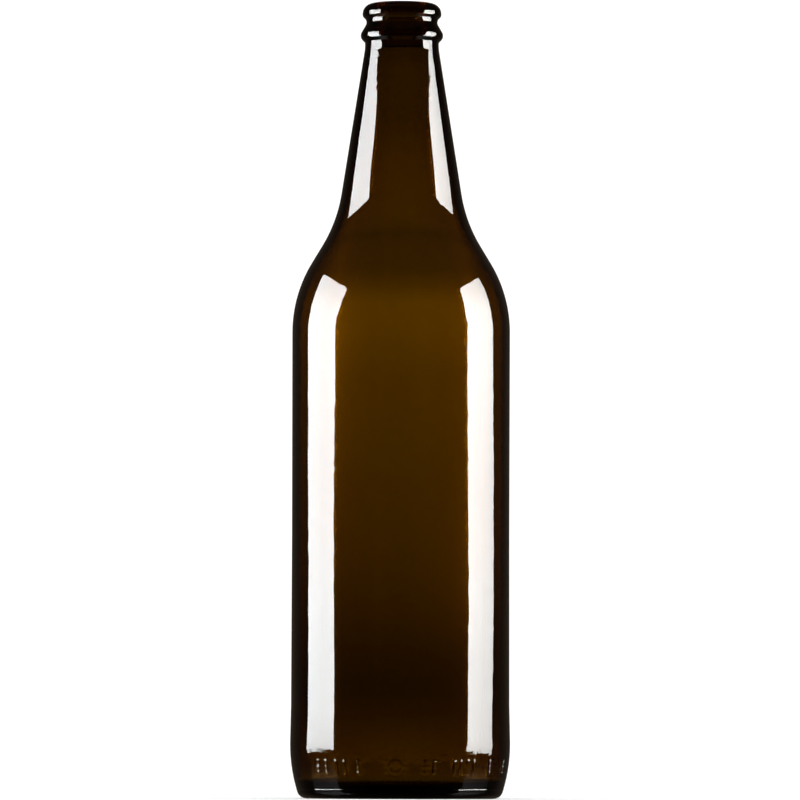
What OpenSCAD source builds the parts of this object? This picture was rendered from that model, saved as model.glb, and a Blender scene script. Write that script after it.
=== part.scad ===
// Long-neck beer bottle of amber glass, empty and open, with a crown finish.
// One revolved wall of glass: its outline is a list of sharp corners, each rounded by its own radius.

/* [Overall] */
// Height from the resting ring to the top of the lip
height = 268; // [240:1:330]
// Diameter of the body just under the shoulder
body_d = 73.4; // [60:0.2:90]

/* [Body] */
// How far the waist of the body lies inside the body's diameter, on the radius
waist_in = 0.12; // [0:0.01:1]
// Height of the waist
waist_h = 88; // [60:1:120]
// How far the contact band above the heel stands out, on the radius
band_out = 0.27; // [0:0.01:1]
// Height of the contact band's upper edge
band_h = 31; // [28:1:40]
// Height of the straight part of the contact band, over the heel
band_straight = 1; // [0.5:0.5:4]

/* [Base] */
// Height of the heel's sharp corner
heel_h = 10.5; // [9:0.5:13]
// Radius that rounds the heel
heel_r = 52; // [30:1:60]
// How far the foot lies inside the heel, on the radius
foot_in = 3.1; // [2:0.1:4]
// Radius from the foot into the resting ring
foot_r = 3; // [1:0.1:3.5]
// Width of the resting ring between its sharp corners
ring_w = 5.9; // [5:0.1:8]
// Radius on the inner side of the resting ring
ring_r = 1.5; // [0.5:0.1:2]
// Height of the push-up's dome at its middle
punt_h = 3.6; // [2:0.1:8]
// Width of the slope between the resting ring and the dome
punt_slope_w = 6; // [3:0.5:10]
// How much the dome rises from its edge to its middle
dome_rise = 1; // [0.5:0.1:1.8]
// Radius between the slope and the dome
dome_edge_round = 20; // [5:1:30]

/* [Shoulder] */
// Height of the sharp corner between the body and the shoulder
shoulder_h = 169.3; // [130:0.5:204]
// Radius that rounds the shoulder
shoulder_r = 45; // [20:1:60]
// Height from the shoulder's sharp corner to the neck's sharp corner
shoulder_rise = 24.8; // [15:0.1:30]
// Diameter at the neck's sharp corner, at the foot of the neck
neck_foot_d = 43.5; // [34:0.5:54]
// Radius that rounds the shoulder into the neck
neck_foot_r = 49; // [20:1:60]

/* [Neck] */
// Diameter of the neck under the finish
neck_d = 24.9; // [20:0.1:26]
// Depth under the lip at which the neck starts to widen
neck_bend = 15.2; // [14:0.1:25]
// Radius at the top of the neck's taper
neck_bend_r = 15; // [5:1:25]

/* [Finish] */
// Diameter of the lip
lip_d = 26.6; // [25:0.1:32]
// Radius over the top of the lip
lip_r = 3.4; // [1:0.1:4]
// Depth of the lip's lower corner under its top
lip_h = 4.2; // [3.6:0.1:5]
// Radius of the lip's lower corner
lip_under_r = 1; // [0.2:0.1:1.5]
// Diameter at the sharp bottom of the groove
groove_d = 23; // [19:0.1:24]
// Depth of the groove's bottom under the lip
groove_at = 6; // [5.6:0.1:7]
// Radius in the groove
groove_r = 2; // [0.5:0.1:2.5]
// Diameter of the bead
bead_d = 27.8; // [26:0.1:34]
// Depth of the bead's upper corner under the lip
bead_top = 10.2; // [9:0.1:10.8]
// Depth of the bead's lower corner under the lip
bead_foot = 11.7; // [11.2:0.1:12.2]
// Radius on both corners of the bead
bead_r = 2.1; // [0.5:0.1:3]
// Depth at which the bead's underside meets the neck
neck_top = 13.2; // [12.8:0.1:13.8]
// Radius between the bead and the neck
neck_top_r = 0.4; // [0.2:0.1:1]
// Diameter of the mouth's bore
mouth_d = 17; // [14:0.1:18]
// Depth of the straight bore
mouth_depth = 11; // [8:0.5:14]
// Radius at the edge of the mouth
mouth_r = 1.2; // [0.2:0.1:1.4]

/* [Glass] */
// Wall of the body and the shoulder
wall = 2.5; // [1.8:0.1:3.4]
// Wall at the foot of the neck
neck_wall = 2.7; // [1.8:0.1:3.4]
// Height of the inner floor over the resting ring
floor_t = 4; // [3.2:0.1:8]
// Glass over the middle of the push-up
dome_t = 2.6; // [2.2:0.1:6]
// Radius inside the heel
inner_heel_r = 3; // [1.5:0.5:12]
// Radius that rounds the inner floor towards its middle
inner_floor_r = 40; // [20:1:60]
// Radius inside the neck, at the foot of the bore
inner_neck_r = 30; // [10:1:40]

/* [Heel marks] */
// Height of the middle of the marks
mark_h = 11.2; // [10:0.1:13]
// Length of a bar, or of a column of dots, between the middles of its ends
mark_len = 3.6; // [2:0.1:5]
// Radius of a bar or a dot
mark_r = 0.7; // [0.5:0.05:0.9]
// How far the marks stand out of the glass
mark_relief = 0.45; // [0.2:0.05:0.5]
// Dots in a column
dots = 3; // [2:1:3]
// Diameter of the plain disc
disc_d = 4.8; // [3:0.1:6]
// How far the disc stands out of the glass
disc_relief = 0.3; // [0.2:0.05:0.5]

/* [Hidden] */
amber = [0.25, 0.13, 0.03];
chord_error = 0.01; // how far a rounded corner's flats may lie inside its arc
turn_fn = 180;
mark_fn = 32;

// Where the marks stand round the heel, in degrees from the front; the back repeats them
dot_angles = [-48, -42, -21.5, 58, 71];
bar_angles = [-34, -29, 15, 20.2, 30, 33.6, 38, 41.6];
disc_angle = -2.4;
mark_sides = [0, 180];

body_r = body_d / 2;
band_r = body_r + band_out;
foot_corner_r = band_r - foot_in;
ring_in_r = foot_corner_r - ring_w;
dome_edge_r = ring_in_r - punt_slope_w;
dome_edge_h = punt_h - dome_rise;

// How far the shoulder's slope leans from the upright
shoulder_lean = atan((body_r - neck_foot_d / 2) / shoulder_rise);

// The heel's arc: how far it turns, where it starts, and its radius and lean at a height
heel_turn = atan(foot_in / heel_h);
heel_top = heel_h + heel_r * tan(heel_turn / 2);
function heel_radius(z) = band_r - heel_r + sqrt(pow(heel_r, 2) - pow(heel_top - z, 2));
function heel_lean(z) = asin((heel_top - z) / heel_r);

// Sharp corners of the outside, from the middle of the push-up to the mouth: [radius, height, rounding]
OUTSIDE = [
    [0, punt_h, 0],
    [dome_edge_r, dome_edge_h, dome_edge_round],
    [ring_in_r, 0, ring_r],
    [foot_corner_r, 0, foot_r],
    [band_r, heel_h, heel_r],
    [band_r, heel_top + band_straight, 0],
    [body_r, band_h, 0],
    [body_r - waist_in, waist_h, 0],
    [body_r, shoulder_h, shoulder_r],
    [neck_foot_d / 2, shoulder_h + shoulder_rise, neck_foot_r],
    [neck_d / 2, height - neck_bend, neck_bend_r],
    [neck_d / 2, height - neck_top, neck_top_r],
    [bead_d / 2, height - bead_foot, bead_r],
    [bead_d / 2, height - bead_top, bead_r],
    [groove_d / 2, height - groove_at, groove_r],
    [lip_d / 2, height - lip_h, lip_under_r],
    [lip_d / 2, height, lip_r],
    [mouth_d / 2, height, mouth_r],
];

// Sharp corners of the inside, from the bore down to the middle of the floor
INSIDE = [
    [mouth_d / 2, height - mouth_depth, inner_neck_r],
    [neck_foot_d / 2 - neck_wall, shoulder_h + shoulder_rise, neck_foot_r + wall],
    [body_r - wall, shoulder_h - wall * tan(shoulder_lean / 2), shoulder_r - wall],
    [body_r - wall, floor_t, inner_heel_r],
    [dome_edge_r, dome_edge_h + dome_t, inner_floor_r],
    [0, punt_h + dome_t, 0],
];

// Helpers of an outline of corners: points without their rounding, directions and turns
function flat(p) = [p[0], p[1]];
function unit(v) = v / norm(v);
function turn_at(a, b, c) = acos(max(-1, min(1, unit(b - a) * unit(c - b))));
function wrap(i, n) = (i + n) % n;

// How much of each side a corner's arc takes up
function arc_reach(line, i) =
    let (n = len(line), a = flat(line[wrap(i - 1, n)]), b = flat(line[i]), c = flat(line[wrap(i + 1, n)]))
    line[i][2] * tan(turn_at(a, b, c) / 2);

// The share of its arc that a corner keeps, so that two arcs never overlap on the side between them
function side_share(line, i, j) =
    let (room = norm(flat(line[i]) - flat(line[j])), need = arc_reach(line, i) + arc_reach(line, j))
    need > room ? room / need : 1;

// The arc runs from the side a-b to the side b-c, and touches both
function corner_points(line, i) =
    let (
        n = len(line), before = wrap(i - 1, n), after = wrap(i + 1, n),
        a = flat(line[before]), b = flat(line[i]), c = flat(line[after]),
        share = min(side_share(line, i, before), side_share(line, i, after)),
        r = line[i][2] * share,
        reach = arc_reach(line, i) * share,
        start = b - unit(b - a) * reach,
        middle = b + unit(unit(a - b) + unit(c - b)) * norm([r, reach]),
        turn = turn_at(a, b, c),
        steps = ceil(turn / (2 * acos(1 - chord_error / r)))
    )
    [for (k = [0 : steps])
        let (t = turn * k / steps)
        middle + (start - middle) * cos(t) + unit(b - a) * r * sin(t)];

function rounded(line) = [
    for (i = [0 : len(line) - 1])
        each (line[i][2] > 0 ? corner_points(line, i) : [flat(line[i])])
];

module wall_of_glass() {
    rotate_extrude($fn = turn_fn) polygon(rounded(concat(OUTSIDE, INSIDE)));
}

// Places a mark on the heel, upright along the heel's lean
module on_heel(angle, depth) {
    rotate([0, 0, angle])
        translate([0, -heel_radius(mark_h) + depth * cos(heel_lean(mark_h)), mark_h])
            rotate([heel_lean(mark_h), 0, 0]) children();
}

module dot() {
    sphere(r = mark_r, $fn = mark_fn);
}

module dot_column() {
    for (k = [0 : dots - 1])
        translate([0, 0, mark_len * (k / (dots - 1) - 0.5)]) dot();
}

module bar() {
    translate([0, 0, -mark_len / 2]) cylinder(r = mark_r, h = mark_len, $fn = mark_fn);
    for (end = [-1, 1])
        translate([0, 0, end * mark_len / 2]) dot();
}

// A plain disc that faces outwards, with its foot in the glass
module disc() {
    rotate([90, 0, 0])
        translate([0, 0, -wall / 2]) cylinder(d = disc_d, h = wall / 2 + disc_relief, $fn = mark_fn * 2);
}

module heel_marks() {
    for (side = mark_sides) {
        for (angle = dot_angles) on_heel(side + angle, mark_r - mark_relief) dot_column();
        for (angle = bar_angles) on_heel(side + angle, mark_r - mark_relief) bar();
        on_heel(side + disc_angle, 0) disc();
    }
}

module bottle() {
    color(amber) {
        wall_of_glass();
        heel_marks();
    }
}

bottle();
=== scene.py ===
"""An empty long-neck beer bottle of amber glass, on a pale studio floor between two strip softboxes."""
import math

import bmesh
import bpy
from mathutils import Matrix, Vector


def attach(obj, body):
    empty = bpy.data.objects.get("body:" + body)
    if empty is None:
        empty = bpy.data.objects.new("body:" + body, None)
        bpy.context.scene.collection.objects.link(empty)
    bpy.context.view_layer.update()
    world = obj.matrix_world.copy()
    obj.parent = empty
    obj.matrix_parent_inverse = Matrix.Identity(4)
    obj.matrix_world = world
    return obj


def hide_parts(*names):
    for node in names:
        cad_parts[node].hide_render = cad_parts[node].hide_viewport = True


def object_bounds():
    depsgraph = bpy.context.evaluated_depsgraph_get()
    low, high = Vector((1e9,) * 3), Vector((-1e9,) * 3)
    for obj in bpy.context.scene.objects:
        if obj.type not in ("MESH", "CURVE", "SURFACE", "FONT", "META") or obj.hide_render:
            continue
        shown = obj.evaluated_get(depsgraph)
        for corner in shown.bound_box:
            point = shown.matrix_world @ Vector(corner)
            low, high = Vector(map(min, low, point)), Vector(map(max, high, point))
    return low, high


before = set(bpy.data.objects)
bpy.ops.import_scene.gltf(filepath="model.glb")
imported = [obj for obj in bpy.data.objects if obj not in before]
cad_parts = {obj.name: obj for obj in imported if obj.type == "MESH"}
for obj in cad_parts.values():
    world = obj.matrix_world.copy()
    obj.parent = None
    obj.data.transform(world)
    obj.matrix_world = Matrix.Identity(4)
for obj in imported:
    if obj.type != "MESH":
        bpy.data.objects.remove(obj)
cad_low, cad_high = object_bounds()
scene = bpy.context.scene
MM = 0.001

# ---------------------------------------------------------------- sizes of the bottle, in millimetres
HEIGHT = cad_high.z / MM
BAND_R = cad_high.x / MM  # the contact band over the heel is the widest part across X

BAND_OUT = 0.27
BODY_R = BAND_R - BAND_OUT
BAND_H = 31.0
BAND_STRAIGHT = 1.0
WAIST_IN = 0.12
WAIST_H = 88.0

HEEL_H = 10.5
HEEL_ROUND = 52.0
FOOT_IN = 3.1
FOOT_ROUND = 3.0
RING_W = 5.9
RING_ROUND = 1.5
SEAM_H = 2.95  # a fine mould seam on the foot
SEAM_W = 0.40
SEAM_OUT = 0.13
SEAM_ROUND = 0.05
SEAM_EDGE = 0.10  # how far a corner without rounding lies above and below it, which keeps its shading crisp
PUNT_H = 3.6
PUNT_SLOPE_W = 6.0
DOME_RISE = 1.0
DOME_EDGE_ROUND = 20.0

SHOULDER_H = 169.3
SHOULDER_ROUND = 45.0
SHOULDER_RISE = 24.8
NECK_FOOT_R = 21.75
NECK_FOOT_ROUND = 49.0
NECK_R = 12.45
NECK_BEND = 15.2
NECK_BEND_ROUND = 15.0

NECK_TOP = 13.2
NECK_TOP_ROUND = 0.4
BEAD_R = 13.9
BEAD_FOOT = 11.7
BEAD_TOP = 10.2
BEAD_ROUND = 2.1
GROOVE_R = 11.5
GROOVE_AT = 6.0
GROOVE_ROUND = 2.0
LIP_R = 13.3
LIP_H = 4.2
LIP_UNDER_ROUND = 1.0
LIP_ROUND = 3.4
MOUTH_R = 8.5
MOUTH_ROUND = 1.2
MOUTH_DEPTH = 11.0

WALL = 2.5
NECK_WALL = 2.7
FLOOR_T = 4.0
DOME_T = 2.6
INNER_NECK_ROUND = 30.0
INNER_HEEL_ROUND = 3.0
INNER_FLOOR_ROUND = 40.0

# Marks on the heel: plain dots, bars and a disc, at angles round from the front
MARK_H = 10.5
MARK_LEN = 3.7
MARK_R = 0.72
MARK_RELIEF = 0.28
DISC_R = 2.4
DISC_RELIEF = 0.16
DISC_EDGE = 0.6
DOTS = 3
DOT_ANGLES = (-48.5, -42.4, -22.4, 13.0, 55.5, 70.5)
BAR_ANGLES = (-35.6, -30.4, 17.9, 29.6, 33.4, 38.2, 42.2)
DISC_ANGLE = -2.4
MARK_MARGIN = 0.6  # how far the finer skin reaches past the marks, up and down
MARK_REACH = 0.5  # and how far it reaches past them round the heel
MARK_CUTS = 7

# How finely the wall is drawn and spun
TURN_STEPS = 256
ARC_STEP = math.radians(4.5)
ARC_STEP_LARGE = math.radians(2.2)
LARGE_ROUND = 25.0
RUN_STEP = 9.0


# ---------------------------------------------------------------- the glass wall
def outside_corners():
    """Sharp corners from the middle of the push-up to the mouth: radius, height, rounding."""
    foot = BAND_R - FOOT_IN
    ring = foot - RING_W
    heel_turn = math.atan(FOOT_IN / HEEL_H)
    heel_top = HEEL_H + HEEL_ROUND * math.tan(heel_turn / 2)
    seam = [(foot + z * FOOT_IN / HEEL_H + out, z, rounding) for z, out, rounding in (
        (SEAM_H - SEAM_W / 2 - SEAM_EDGE, 0, 0), (SEAM_H - SEAM_W / 2, 0, SEAM_ROUND),
        (SEAM_H, SEAM_OUT, SEAM_ROUND), (SEAM_H + SEAM_W / 2, 0, SEAM_ROUND),
        (SEAM_H + SEAM_W / 2 + SEAM_EDGE, 0, 0))]
    return [
        (0, PUNT_H, 0),
        (ring - PUNT_SLOPE_W, PUNT_H - DOME_RISE, DOME_EDGE_ROUND),
        (ring, 0, RING_ROUND),
        (foot, 0, FOOT_ROUND),
        *seam,
        (BAND_R, HEEL_H, HEEL_ROUND),
        (BAND_R, heel_top + BAND_STRAIGHT, 0),
        (BODY_R, BAND_H, 0),
        (BODY_R - WAIST_IN, WAIST_H, 0),
        (BODY_R, SHOULDER_H, SHOULDER_ROUND),
        (NECK_FOOT_R, SHOULDER_H + SHOULDER_RISE, NECK_FOOT_ROUND),
        (NECK_R, HEIGHT - NECK_BEND, NECK_BEND_ROUND),
        (NECK_R, HEIGHT - NECK_TOP, NECK_TOP_ROUND),
        (BEAD_R, HEIGHT - BEAD_FOOT, BEAD_ROUND),
        (BEAD_R, HEIGHT - BEAD_TOP, BEAD_ROUND),
        (GROOVE_R, HEIGHT - GROOVE_AT, GROOVE_ROUND),
        (LIP_R, HEIGHT - LIP_H, LIP_UNDER_ROUND),
        (LIP_R, HEIGHT, LIP_ROUND),
        (MOUTH_R, HEIGHT, MOUTH_ROUND),
    ]


def inside_corners():
    """Sharp corners from the bore down to the middle of the inner floor."""
    lean = math.atan((BODY_R - NECK_FOOT_R) / SHOULDER_RISE)
    dome_edge = BAND_R - FOOT_IN - RING_W - PUNT_SLOPE_W
    return [
        (MOUTH_R, HEIGHT - MOUTH_DEPTH, INNER_NECK_ROUND),
        (NECK_FOOT_R - NECK_WALL, SHOULDER_H + SHOULDER_RISE, NECK_FOOT_ROUND + WALL),
        (BODY_R - WALL, SHOULDER_H - WALL * math.tan(lean / 2), SHOULDER_ROUND - WALL),
        (BODY_R - WALL, FLOOR_T, INNER_HEEL_ROUND),
        (dome_edge, PUNT_H - DOME_RISE + DOME_T, INNER_FLOOR_ROUND),
        (0, PUNT_H + DOME_T, 0),
    ]


class Pen:
    """Draws a half section in the XZ plane: a straight run is extruded in short steps, an arc is spun."""

    def __init__(self, shape, start):
        self.shape = shape
        self.tip = bmesh.ops.create_vert(shape, co=start)["vert"][0]

    def run_to(self, end):
        start = self.tip.co.copy()
        steps = max(1, round((end - start).length / (RUN_STEP * MM)))
        for _ in range(steps):
            grown = bmesh.ops.extrude_vert_indiv(self.shape, verts=[self.tip])
            self.tip = grown["verts"][0]
            bmesh.ops.translate(self.shape, verts=[self.tip], vec=(end - start) / steps)

    def turn(self, centre, angle, step):
        steps = max(2, math.ceil(abs(angle) / step))
        spun = bmesh.ops.spin(self.shape, geom=[self.tip], cent=centre, axis=(0, 1, 0),
                              angle=angle, steps=steps)
        self.tip = next(part for part in spun["geom_last"] if isinstance(part, bmesh.types.BMVert))

    def corner(self, before, at, after, rounding):
        """Rounds the corner at a point, between the sides that come from before and go on to after."""
        came = (at - before).normalized()
        goes = (after - at).normalized()
        turn = came.angle(goes)
        reach = rounding * math.tan(turn / 2)
        self.run_to(at - came * reach)
        side = (goes - came).normalized()
        centre = at + side * math.hypot(rounding, reach)
        around = 1 if came.cross(goes).y > 0 else -1
        step = ARC_STEP_LARGE if rounding > LARGE_ROUND * MM else ARC_STEP
        self.turn(centre, around * turn, step)


def glass_wall(shape):
    """The whole wall as one closed skin: its half section is drawn, then spun round the bottle's axis."""
    corners = outside_corners() + inside_corners()
    points = [Vector((r, 0, z)) * MM for r, z, _ in corners]
    pen = Pen(shape, points[0])
    for before, at, after, (_, _, rounding) in zip(points, points[1:], points[2:], corners[1:]):
        if rounding:
            pen.corner(before, at, after, rounding * MM)
        else:
            pen.run_to(at)
    pen.run_to(points[-1])
    bmesh.ops.spin(shape, geom=shape.verts[:] + shape.edges[:], cent=(0, 0, 0), axis=(0, 0, 1),
                   angle=math.tau, steps=TURN_STEPS, use_merge=True)
    bmesh.ops.remove_doubles(shape, verts=shape.verts[:], dist=0.001 * MM)
    bmesh.ops.recalc_face_normals(shape, faces=shape.faces[:])


# ---------------------------------------------------------------- the marks on the heel
def smooth(x):
    x = min(1.0, max(0.0, x))
    return x * x * (3 - 2 * x)


def place_on_heel(point):
    """Where a point of the heel lies on the unrolled heel: distance round from the front, and height."""
    radius = math.hypot(point.x, point.y) / MM
    return math.atan2(point.x, -point.y) * radius, point.z / MM, radius


def round_gap(u, angle, radius):
    """The shorter way round from a place on the unrolled heel to an angle."""
    full = math.tau * radius
    gap = u - math.radians(angle) * radius
    return (gap + full / 2) % full - full / 2


def mark_height(point):
    """How far the marks lift the glass at a point of the heel, in millimetres."""
    u, height, radius = place_on_heel(point)
    v = height - MARK_H
    pitch = MARK_LEN / (DOTS - 1)
    nearest_dot = min(max(round(v / pitch), -(DOTS // 2)), DOTS // 2) * pitch
    past_bar = max(0.0, abs(v) - MARK_LEN / 2)
    gaps = [math.hypot(round_gap(u, angle, radius), past_bar) for angle in BAR_ANGLES]
    gaps += [math.hypot(round_gap(u, angle, radius), v - nearest_dot) for angle in DOT_ANGLES]
    from_disc = math.hypot(round_gap(u, DISC_ANGLE, radius), v)
    return max(MARK_RELIEF * smooth(1 - min(gaps) / MARK_R),
               DISC_RELIEF * smooth((DISC_R + DISC_EDGE / 2 - from_disc) / DISC_EDGE))


def near_marks(face):
    """Is a face on the outside of the heel, and within a millimetre or so of a mark?"""
    u, height, radius = place_on_heel(face.calc_center_median())
    if radius < BAND_R - FOOT_IN or abs(height - MARK_H) > MARK_LEN / 2 + MARK_R + MARK_MARGIN:
        return False
    if min(abs(round_gap(u, angle, radius)) for angle in BAR_ANGLES + DOT_ANGLES) < MARK_R + MARK_REACH:
        return True
    return abs(round_gap(u, DISC_ANGLE, radius)) < DISC_R + 2 * DISC_EDGE


def raise_marks(shape):
    """Makes the skin finer round the marks, and lifts it there."""
    faces = [f for f in shape.faces if near_marks(f)]
    edges = list({e for f in faces for e in f.edges})
    cut = bmesh.ops.subdivide_edges(shape, edges=edges, cuts=MARK_CUTS, use_grid_fill=True)
    around = {v for f in faces if f.is_valid for v in f.verts}
    around |= {part for part in cut["geom"] if isinstance(part, bmesh.types.BMVert)}
    for vert in around:
        lift = mark_height(vert.co)
        if lift:
            vert.co += Vector((vert.co.x, vert.co.y, 0)).normalized() * lift * MM


def finished(shape, name, material):
    """Turns a drawn shape into a smooth piece with one material."""
    mesh = bpy.data.meshes.new(name)
    shape.to_mesh(mesh)
    shape.free()
    for polygon in mesh.polygons:
        polygon.use_smooth = True
    mesh.materials.append(material)
    piece = bpy.data.objects.new(name, mesh)
    scene.collection.objects.link(piece)
    return piece


# ---------------------------------------------------------------- materials
# Outputs and inputs of nodes, which are known by their number
ACROSS, BACK, UP = 0, 1, 2
WORLD_WAY = 0
OBJECT_PLACE = 3
MIX_FACTOR, MIX_FIRST, MIX_SECOND, MIX_RESULT = 0, 6, 7, 2


class Field:
    """A value on its way through a material's nodes, so that shader maths reads as Python."""

    def __init__(self, recipe, socket):
        self.recipe = recipe
        self.socket = socket

    def maths(self, operation, *others, clamp=False):
        return self.recipe.node("ShaderNodeMath", {"operation": operation, "use_clamp": clamp},
                                {i: v for i, v in enumerate((self, *others))})

    def __add__(self, other):
        return self.maths("ADD", other)

    def __radd__(self, other):
        return self.maths("ADD", other)

    def __sub__(self, other):
        return self.maths("SUBTRACT", other)

    def __rsub__(self, other):
        return self.recipe.node("ShaderNodeMath", {"operation": "SUBTRACT"}, {0: other, 1: self})

    def __mul__(self, other):
        return self.maths("MULTIPLY", other)

    def __rmul__(self, other):
        return self.maths("MULTIPLY", other)

    def clamped(self):
        return self.maths("ADD", 0.0, clamp=True)


class Recipe:
    """A node tree under construction."""

    def __init__(self, owner):
        owner.use_nodes = True
        self.tree = owner.node_tree
        self.tree.nodes.clear()

    def node(self, kind, settings=None, sockets=None, output=0):
        made = self.tree.nodes.new(kind)
        for key, value in (settings or {}).items():
            if key == "stops":
                self.set_stops(made.color_ramp, value)
            else:
                setattr(made, key, value)
        for key, value in (sockets or {}).items():
            if isinstance(value, Field):
                self.tree.links.new(value.socket, made.inputs[key])
            else:
                made.inputs[key].default_value = value
        return Field(self, made.outputs[output]) if made.outputs else made

    def place(self):
        """Where a point lies on its piece, in metres."""
        return self.node("ShaderNodeTexCoord", output=OBJECT_PLACE)

    def along(self, place, axis):
        """How far a place lies along an axis."""
        return self.node("ShaderNodeSeparateXYZ", None, {"Vector": place}, output=axis)

    def noise(self, place, scale, detail=1.0):
        return self.node("ShaderNodeTexNoise", None, {"Vector": place, "Scale": scale, "Detail": detail})

    def grey_ramp(self, stops, value):
        greys = [(at, (level, level, level)) for at, level in stops]
        return self.node("ShaderNodeValToRGB", {"stops": greys}, {"Fac": value})

    def fade(self, value, reach, most):
        """From 0 to the most that it gets, as a value goes from the first end of its reach to the other."""
        return self.node("ShaderNodeMapRange", None, {
            "Value": value, "From Min": reach[0], "From Max": reach[1], "To Max": most})

    def ray(self, fact):
        return self.node("ShaderNodeLightPath", output=fact)

    def emission(self, tint, strength):
        """Light of a tint whose strength changes over the surface, carried by its colour."""
        colour = self.node("ShaderNodeVectorMath", {"operation": "SCALE"}, {0: tint, "Scale": strength})
        return self.node("ShaderNodeEmission", None, {"Color": colour})

    @staticmethod
    def set_stops(ramp, stops):
        while len(ramp.elements) < len(stops):
            ramp.elements.new(1.0)
        for element, (place, value) in zip(ramp.elements, stops):
            element.position = place
            element.color = (*value, 1)


# The glass: noise scales per metre, how strong each ripple is beside the slow one, and the rough one's height
SLOW_SCALE = 60.0
FINE_SCALE = 350.0
FINE_RIPPLE = 1.3
ROUGH_SCALE = 900.0
ROUGH_RIPPLE = 1.6
ROUGH_H = 0.0156
ROUGH_FADE = 800.0
RIPPLE_DEPTH = 0.0002
RIPPLE_STRENGTH = 0.1
SMUDGE_SCALE = 25.0
POLISH = 0.004
SMUDGES = 0.012
GLASS_IOR = 1.52
AMBER = (0.669, 0.55, 0.0, 1)
AMBER_DENSITY = 1600.0


def amber_glass():
    """Clear, dark brown glass: the colour is in its depth, and its skin is a little rippled."""
    material = bpy.data.materials.new("amber_glass")
    recipe = Recipe(material)
    place = recipe.place()
    slow = recipe.noise(place, SLOW_SCALE)
    fine = recipe.noise(place, FINE_SCALE)
    rough = recipe.noise(place, ROUGH_SCALE)
    smudge = recipe.noise(place, SMUDGE_SCALE, detail=4.0)
    height = recipe.along(place, UP)
    near_band = (2 - ROUGH_FADE * (height - ROUGH_H).maths("ABSOLUTE")).clamped()
    ripple = slow + FINE_RIPPLE * fine + ROUGH_RIPPLE * rough * near_band
    skin = recipe.node("ShaderNodeBump", None, {
        "Height": ripple, "Strength": RIPPLE_STRENGTH, "Distance": RIPPLE_DEPTH})
    surface = recipe.node("ShaderNodeBsdfPrincipled", None, {
        "Base Color": (1, 1, 1, 1), "IOR": GLASS_IOR, "Transmission Weight": 1.0,
        "Roughness": POLISH + SMUDGES * smudge, "Normal": skin})
    depth = recipe.node("ShaderNodeVolumeAbsorption", None, {"Color": AMBER, "Density": AMBER_DENSITY})
    recipe.node("ShaderNodeOutputMaterial", None, {"Surface": surface, "Volume": depth})
    return material


# ---------------------------------------------------------------- studio
def stage_piece(shape, name, material):
    piece = finished(shape, name, material)
    return piece


def sheet(name, corners, material):
    """A flat sheet of the studio, given by its corners."""
    shape = bmesh.new()
    verts = [bmesh.ops.create_vert(shape, co=c)["vert"][0] for c in corners]
    bmesh.ops.contextual_create(shape, geom=verts)
    return stage_piece(shape, name, material)


def hide_from(thing, *rays):
    for ray in rays:
        setattr(thing, "visible_" + ray, False)


# The softboxes stand upright beside the bottle. Front and back edge of each: how far behind the bottle's
# axis, and how high, in metres.
STRIP_X = 0.30
LEFT_BACK = ((0.106, 0.001), (0.102, 0.051), (0.110, 0.110), (0.117, 0.170), (0.110, 0.250),
             (0.112, 0.285), (0.118, 0.350))
LEFT_FRONT = ((-0.112, 0.001), (-0.108, 0.050), (-0.099, 0.100), (-0.110, 0.170), (-0.124, 0.250),
              (-0.134, 0.300), (-0.140, 0.350))
RIGHT_BACK = ((0.090, -0.005), (0.095, 0.030), (0.111, 0.050), (0.118, 0.095), (0.103, 0.170),
              (0.098, 0.250), (0.104, 0.290), (0.098, 0.342))
RIGHT_FRONT = ((-0.111, -0.005), (-0.0975, 0.034), (-0.0915, 0.080), (-0.104, 0.150), (-0.110, 0.230),
               (-0.110, 0.300), (-0.106, 0.342))
STRIP_MIDDLE = {"left": 15.3, "right": 15.8}
STRIP_FALL = {"left": 34.0, "right": 60.0}
STRIP_TINT = {"left": (0.985, 1, 1), "right": (1, 0.99, 0.965)}
STRIP_TOP = 0.36
# How bright they are at some shares of that height
STRIP_LEVELS_HIGH = ((0.45, 1.12), (0.6, 1.12), (0.85, 0.9), (1.0, 0.88))
STRIP_LEVELS = {"left": ((0.0, 0.68), (0.1, 0.95), (0.2, 1.04), (0.33, 1.03), *STRIP_LEVELS_HIGH),
                "right": ((0.0, 0.67), (0.1, 0.86), (0.2, 0.98), (0.33, 1.0), *STRIP_LEVELS_HIGH)}
# Their mirror images in the table: its height, how much it mirrors, and where that fades in
TABLE_H = -0.012
TABLE_SHINE = 0.02
TABLE_FADE = (-0.02, -0.17)
# Low down, the glass's inner wall mirrors the softboxes less: where that starts and is full, and by how much
INNER_WALL_FADE = (0.10, 0.075)
INNER_WALL_DIM = 0.75


# How many glass surfaces a ray has passed, told by a number between two counts
ANY_SURFACE = 0.5
ONE_WALL = 2.5


def beyond_glass(recipe):
    """1 for a ray that has gone through both walls of the bottle, otherwise 0."""
    return recipe.ray("Transmission Depth").maths("GREATER_THAN", ONE_WALL)


def unless_beyond(recipe, glow):
    """Lets a ray that has gone through both walls pass, and shows the glow to every other ray."""
    clear = recipe.node("ShaderNodeBsdfTransparent")
    return recipe.node("ShaderNodeMixShader", None, {0: beyond_glass(recipe), 1: glow, 2: clear})


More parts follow.
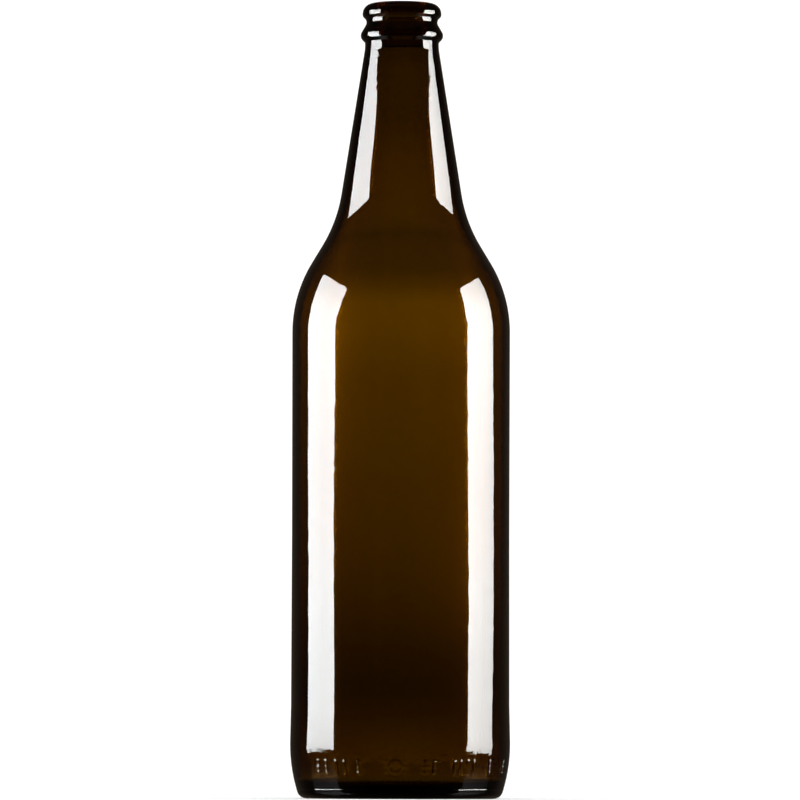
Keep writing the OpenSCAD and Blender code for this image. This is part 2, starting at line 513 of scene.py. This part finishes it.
def strip_light(side):
    """Brightest along its front edge, a little dimmer towards its back and its ends."""
    material = bpy.data.materials.new("strip_light_" + side)
    recipe = Recipe(material)
    place = recipe.place()
    height = recipe.along(place, UP)
    level = recipe.grey_ramp(STRIP_LEVELS[side], height.maths("ABSOLUTE") * (1 / STRIP_TOP))
    on_table = height.maths("LESS_THAN", TABLE_H)
    shine = recipe.fade(height, TABLE_FADE, TABLE_SHINE)
    inside_glass = recipe.ray("Transmission Depth").maths("GREATER_THAN", ANY_SURFACE)
    low_down = recipe.fade(height, INNER_WALL_FADE, INNER_WALL_DIM)
    strength = (STRIP_MIDDLE[side] - STRIP_FALL[side] * recipe.along(place, BACK)) * level
    strength = strength * (1 - on_table + shine * on_table) * (1 - inside_glass * low_down)
    glow = recipe.emission(STRIP_TINT[side], strength)
    recipe.node("ShaderNodeOutputMaterial", None, {"Surface": unless_beyond(recipe, glow)})
    return material


def softboxes():
    for side, x, back, front in (("left", -STRIP_X, LEFT_BACK, LEFT_FRONT),
                                 ("right", STRIP_X, RIGHT_BACK, RIGHT_FRONT)):
        light = strip_light(side)
        corners = [(x, y, z) for y, z in (*back, *reversed(front))]
        hide_from(sheet("strip_" + side, corners, light), "camera", "diffuse", "shadow")
        mirrored = [(x, y, 2 * TABLE_H - z) for x, y, z in corners]
        in_table = sheet("strip_" + side + "_in_table", mirrored, light)
        hide_from(in_table, "camera", "diffuse", "shadow", "transmission")


# The glow close behind the bottle, as it is seen through both walls of the glass from any side.
# Each row: height in millimetres, brightness, and how much green there is to each part of red.
GLOW_R = 0.045
GLOW_STEPS = 96
GLOW_LOW = -0.10
GLOW_HIGH = 0.30
GLOW_SPLIT = 30
GLOW_AT_HEEL = ((-40, 0.02, 1.0), (2, 0.08, 1.1), (13, 0.17, 0.78), (15.7, 0.26, 0.83), (16.6, 0.36, 0.9),
                (17, 0.57, 0.95), (17.5, 0.6, 0.95), (18.5, 0.5, 0.97), (21, 0.42, 0.92), (27, 0.25, 0.87),
                (30, 0.2, 0.85))
GLOW_ABOVE = ((30, 0.2, 0.85), (35, 0.16, 0.86), (40, 0.16, 0.86), (48, 0.19, 0.85), (62, 0.3, 0.85),
              (77, 0.41, 0.88), (108, 0.57, 0.91), (123, 0.68, 0.95), (146, 0.81, 0.97), (160, 1.08, 0.99),
              (170, 1.17, 1.0), (177, 0.74, 1.0), (182, 0.52, 1.0), (189, 0.48, 0.99), (194, 0.4, 0.99),
              (196, 0.52, 0.99), (203, 0.69, 1.0), (212, 0.76, 1.02), (220, 0.73, 1.02), (234, 0.52, 1.1),
              (251, 0.62, 1.2), (256, 0.47, 1.25), (270, 0.5, 1.5))
# How much brighter the glow gets towards the left and the right, in millimetres from the middle ...
GLOW_SIDES = ((-36, 0, 0), (-28, 0.7, 0), (-24, 0.7, 0), (-21, 0.35, 0), (-17, 0.17, 0), (-10, 0, 0),
              (0, 0, 0), (8, 0, 0.06), (14, 0, 0.17), (18, 0, 0.3), (21, 0, 0.48), (23, 0, 0.65),
              (25, 0, 1), (28, 0, 1), (36, 0, 0))
# ... and how strongly it does so on each side, at some heights in millimetres
GLOW_SPREAD = ((16.5, 0, 0), (18, 0.1, 0.35), (20, 0.2, 0.4), (32, 0.5, 0.95), (68, 0.6, 1.9), (120, 1.3, 1),
               (158, 2.1, 1.1), (170, 1.5, 0.8), (200, 1, 0.8))


def light_levels(rows):
    """Height, red and green of the glow, from rows of height, brightness and green to red."""
    return [(height, bright, bright * green) for height, bright, green in rows]


def ramp(recipe, value, stops):
    """Colours at some values, with the third channel left dark."""
    low, high = stops[0][0], stops[-1][0]
    placed = [((at - low) / (high - low), (first, second, 0)) for at, first, second in stops]
    return recipe.node("ShaderNodeValToRGB", {"stops": placed}, {"Fac": (value - low) * (1 / (high - low))})


def glow_behind():
    """A round screen close about the bottle, which shows only through both walls of the glass."""
    shape = bmesh.new()
    bmesh.ops.create_circle(shape, segments=GLOW_STEPS, radius=GLOW_R)
    bmesh.ops.translate(shape, verts=shape.verts[:], vec=(0, 0, GLOW_LOW))
    grown = bmesh.ops.extrude_edge_only(shape, edges=shape.edges[:])
    top = [part for part in grown["geom"] if isinstance(part, bmesh.types.BMVert)]
    bmesh.ops.translate(shape, verts=top, vec=(0, 0, GLOW_HIGH - GLOW_LOW))
    material = bpy.data.materials.new("glow_behind")
    recipe = Recipe(material)
    place = recipe.place()
    across = recipe.along(place, ACROSS) * (1 / MM)
    height = recipe.along(place, UP) * (1 / MM)
    level = recipe.node("ShaderNodeMix", {"data_type": "RGBA"}, {
        MIX_FACTOR: height.maths("GREATER_THAN", GLOW_SPLIT),
        MIX_FIRST: ramp(recipe, height, light_levels(GLOW_AT_HEEL)),
        MIX_SECOND: ramp(recipe, height, light_levels(GLOW_ABOVE))}, output=MIX_RESULT)
    sides = recipe.node("ShaderNodeVectorMath", {"operation": "DOT_PRODUCT"}, {
        0: ramp(recipe, across, GLOW_SIDES), 1: ramp(recipe, height, GLOW_SPREAD)}, output=1)
    glow = recipe.emission(level, 1 + sides)
    clear = recipe.node("ShaderNodeBsdfTransparent")
    surface = recipe.node("ShaderNodeMixShader", None, {0: beyond_glass(recipe), 1: clear, 2: glow})
    recipe.node("ShaderNodeOutputMaterial", None, {"Surface": surface})
    ring = stage_piece(shape, "glow_behind", material)
    hide_from(ring, "camera", "diffuse", "glossy", "shadow")


FLOOR_HALF = 4.0
FLOOR_GAP = 0.0001  # the floor lies this far under the bottle, so that the two don't flicker
PAPER_SCALE = 300.0


def studio_floor():
    shape = bmesh.new()
    bmesh.ops.create_grid(shape, x_segments=1, y_segments=1, size=FLOOR_HALF)
    bmesh.ops.translate(shape, verts=shape.verts[:], vec=(0, 0, -FLOOR_GAP))
    material = bpy.data.materials.new("floor_paper")
    recipe = Recipe(material)
    grain = recipe.noise(recipe.place(), PAPER_SCALE, detail=2.0)
    surface = recipe.node("ShaderNodeBsdfPrincipled", None, {
        "Base Color": (0.9, 0.9, 0.9, 1), "Roughness": 0.7 + 0.1 * grain, "Specular IOR Level": 0.2})
    recipe.node("ShaderNodeOutputMaterial", None, {"Surface": surface})
    floor = stage_piece(shape, "floor", material)
    hide_from(floor, "glossy", "transmission")


# How bright the surround is: to the eye, as it lights the floor, and through one or both walls of the glass
BACKGROUND = 1.15
DIFFUSE_SKY = 1.35
SEEN_THROUGH_NEAR = 0.05
SEEN_THROUGH_FAR = 0.5
MIRRORED_ROOM = (0.055, 0.041, 0.030, 1)
ROOM_AROUND = ((0.0, 0.0), (0.125, 0.0), (0.325, 0.35), (0.80, 0.45), (0.96, 1.0))  # from in front to behind


def studio_air():
    """The white surround, a dim warm room where the glass mirrors it, and dim too where it shows through."""
    world = bpy.data.worlds.new("studio")
    scene.world = world
    recipe = Recipe(world)
    through = SEEN_THROUGH_NEAR + (SEEN_THROUGH_FAR - SEEN_THROUGH_NEAR) * beyond_glass(recipe)
    strength = (BACKGROUND * recipe.ray("Is Camera Ray") + DIFFUSE_SKY * recipe.ray("Is Diffuse Ray")
                + through * recipe.ray("Is Transmission Ray"))
    sky = recipe.node("ShaderNodeBackground", None, {"Color": (1, 1, 1, 1), "Strength": strength})
    way = recipe.node("ShaderNodeTexCoord", output=WORLD_WAY)
    lit = recipe.grey_ramp(ROOM_AROUND, 0.5 * recipe.along(way, BACK) + 0.5)
    room = recipe.node("ShaderNodeBackground", None, {
        "Color": MIRRORED_ROOM, "Strength": lit * recipe.ray("Is Glossy Ray")})
    both = recipe.node("ShaderNodeAddShader", None, {0: sky, 1: room})
    recipe.node("ShaderNodeOutputWorld", None, {"Surface": both})


# ---------------------------------------------------------------- camera
CAMERA_BACK = 2.35
CAMERA_HEIGHT = 0.012
FRAME_SPAN = 0.26954  # what the picture spans at the bottle
LEAN = math.radians(0.15)
SENSOR = 36.0
NEAR = 0.05
FAR = 50.0
AIM = Vector((-0.00033, 0, cad_high.z / 2))


def camera():
    data = bpy.data.cameras.new("camera")
    eye = Vector((AIM.x, -CAMERA_BACK, CAMERA_HEIGHT))
    data.sensor_width = SENSOR
    data.lens = SENSOR * (AIM - eye).length / FRAME_SPAN
    data.clip_start = NEAR
    data.clip_end = FAR
    shot = bpy.data.objects.new("camera", data)
    look = (AIM - eye).to_track_quat("-Z", "Y").to_matrix() @ Matrix.Rotation(LEAN, 3, "Z")
    shot.matrix_world = Matrix.Translation(eye) @ look.to_4x4()
    scene.collection.objects.link(shot)
    scene.camera = shot


# ---------------------------------------------------------------- making
camera()
studio_floor()
softboxes()
glow_behind()
studio_air()
scene.view_settings.view_transform = "Standard"

wall = bmesh.new()
glass_wall(wall)
raise_marks(wall)
bottle = finished(wall, "glass_bottle", amber_glass())
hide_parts("bottle")
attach(bottle, "root")
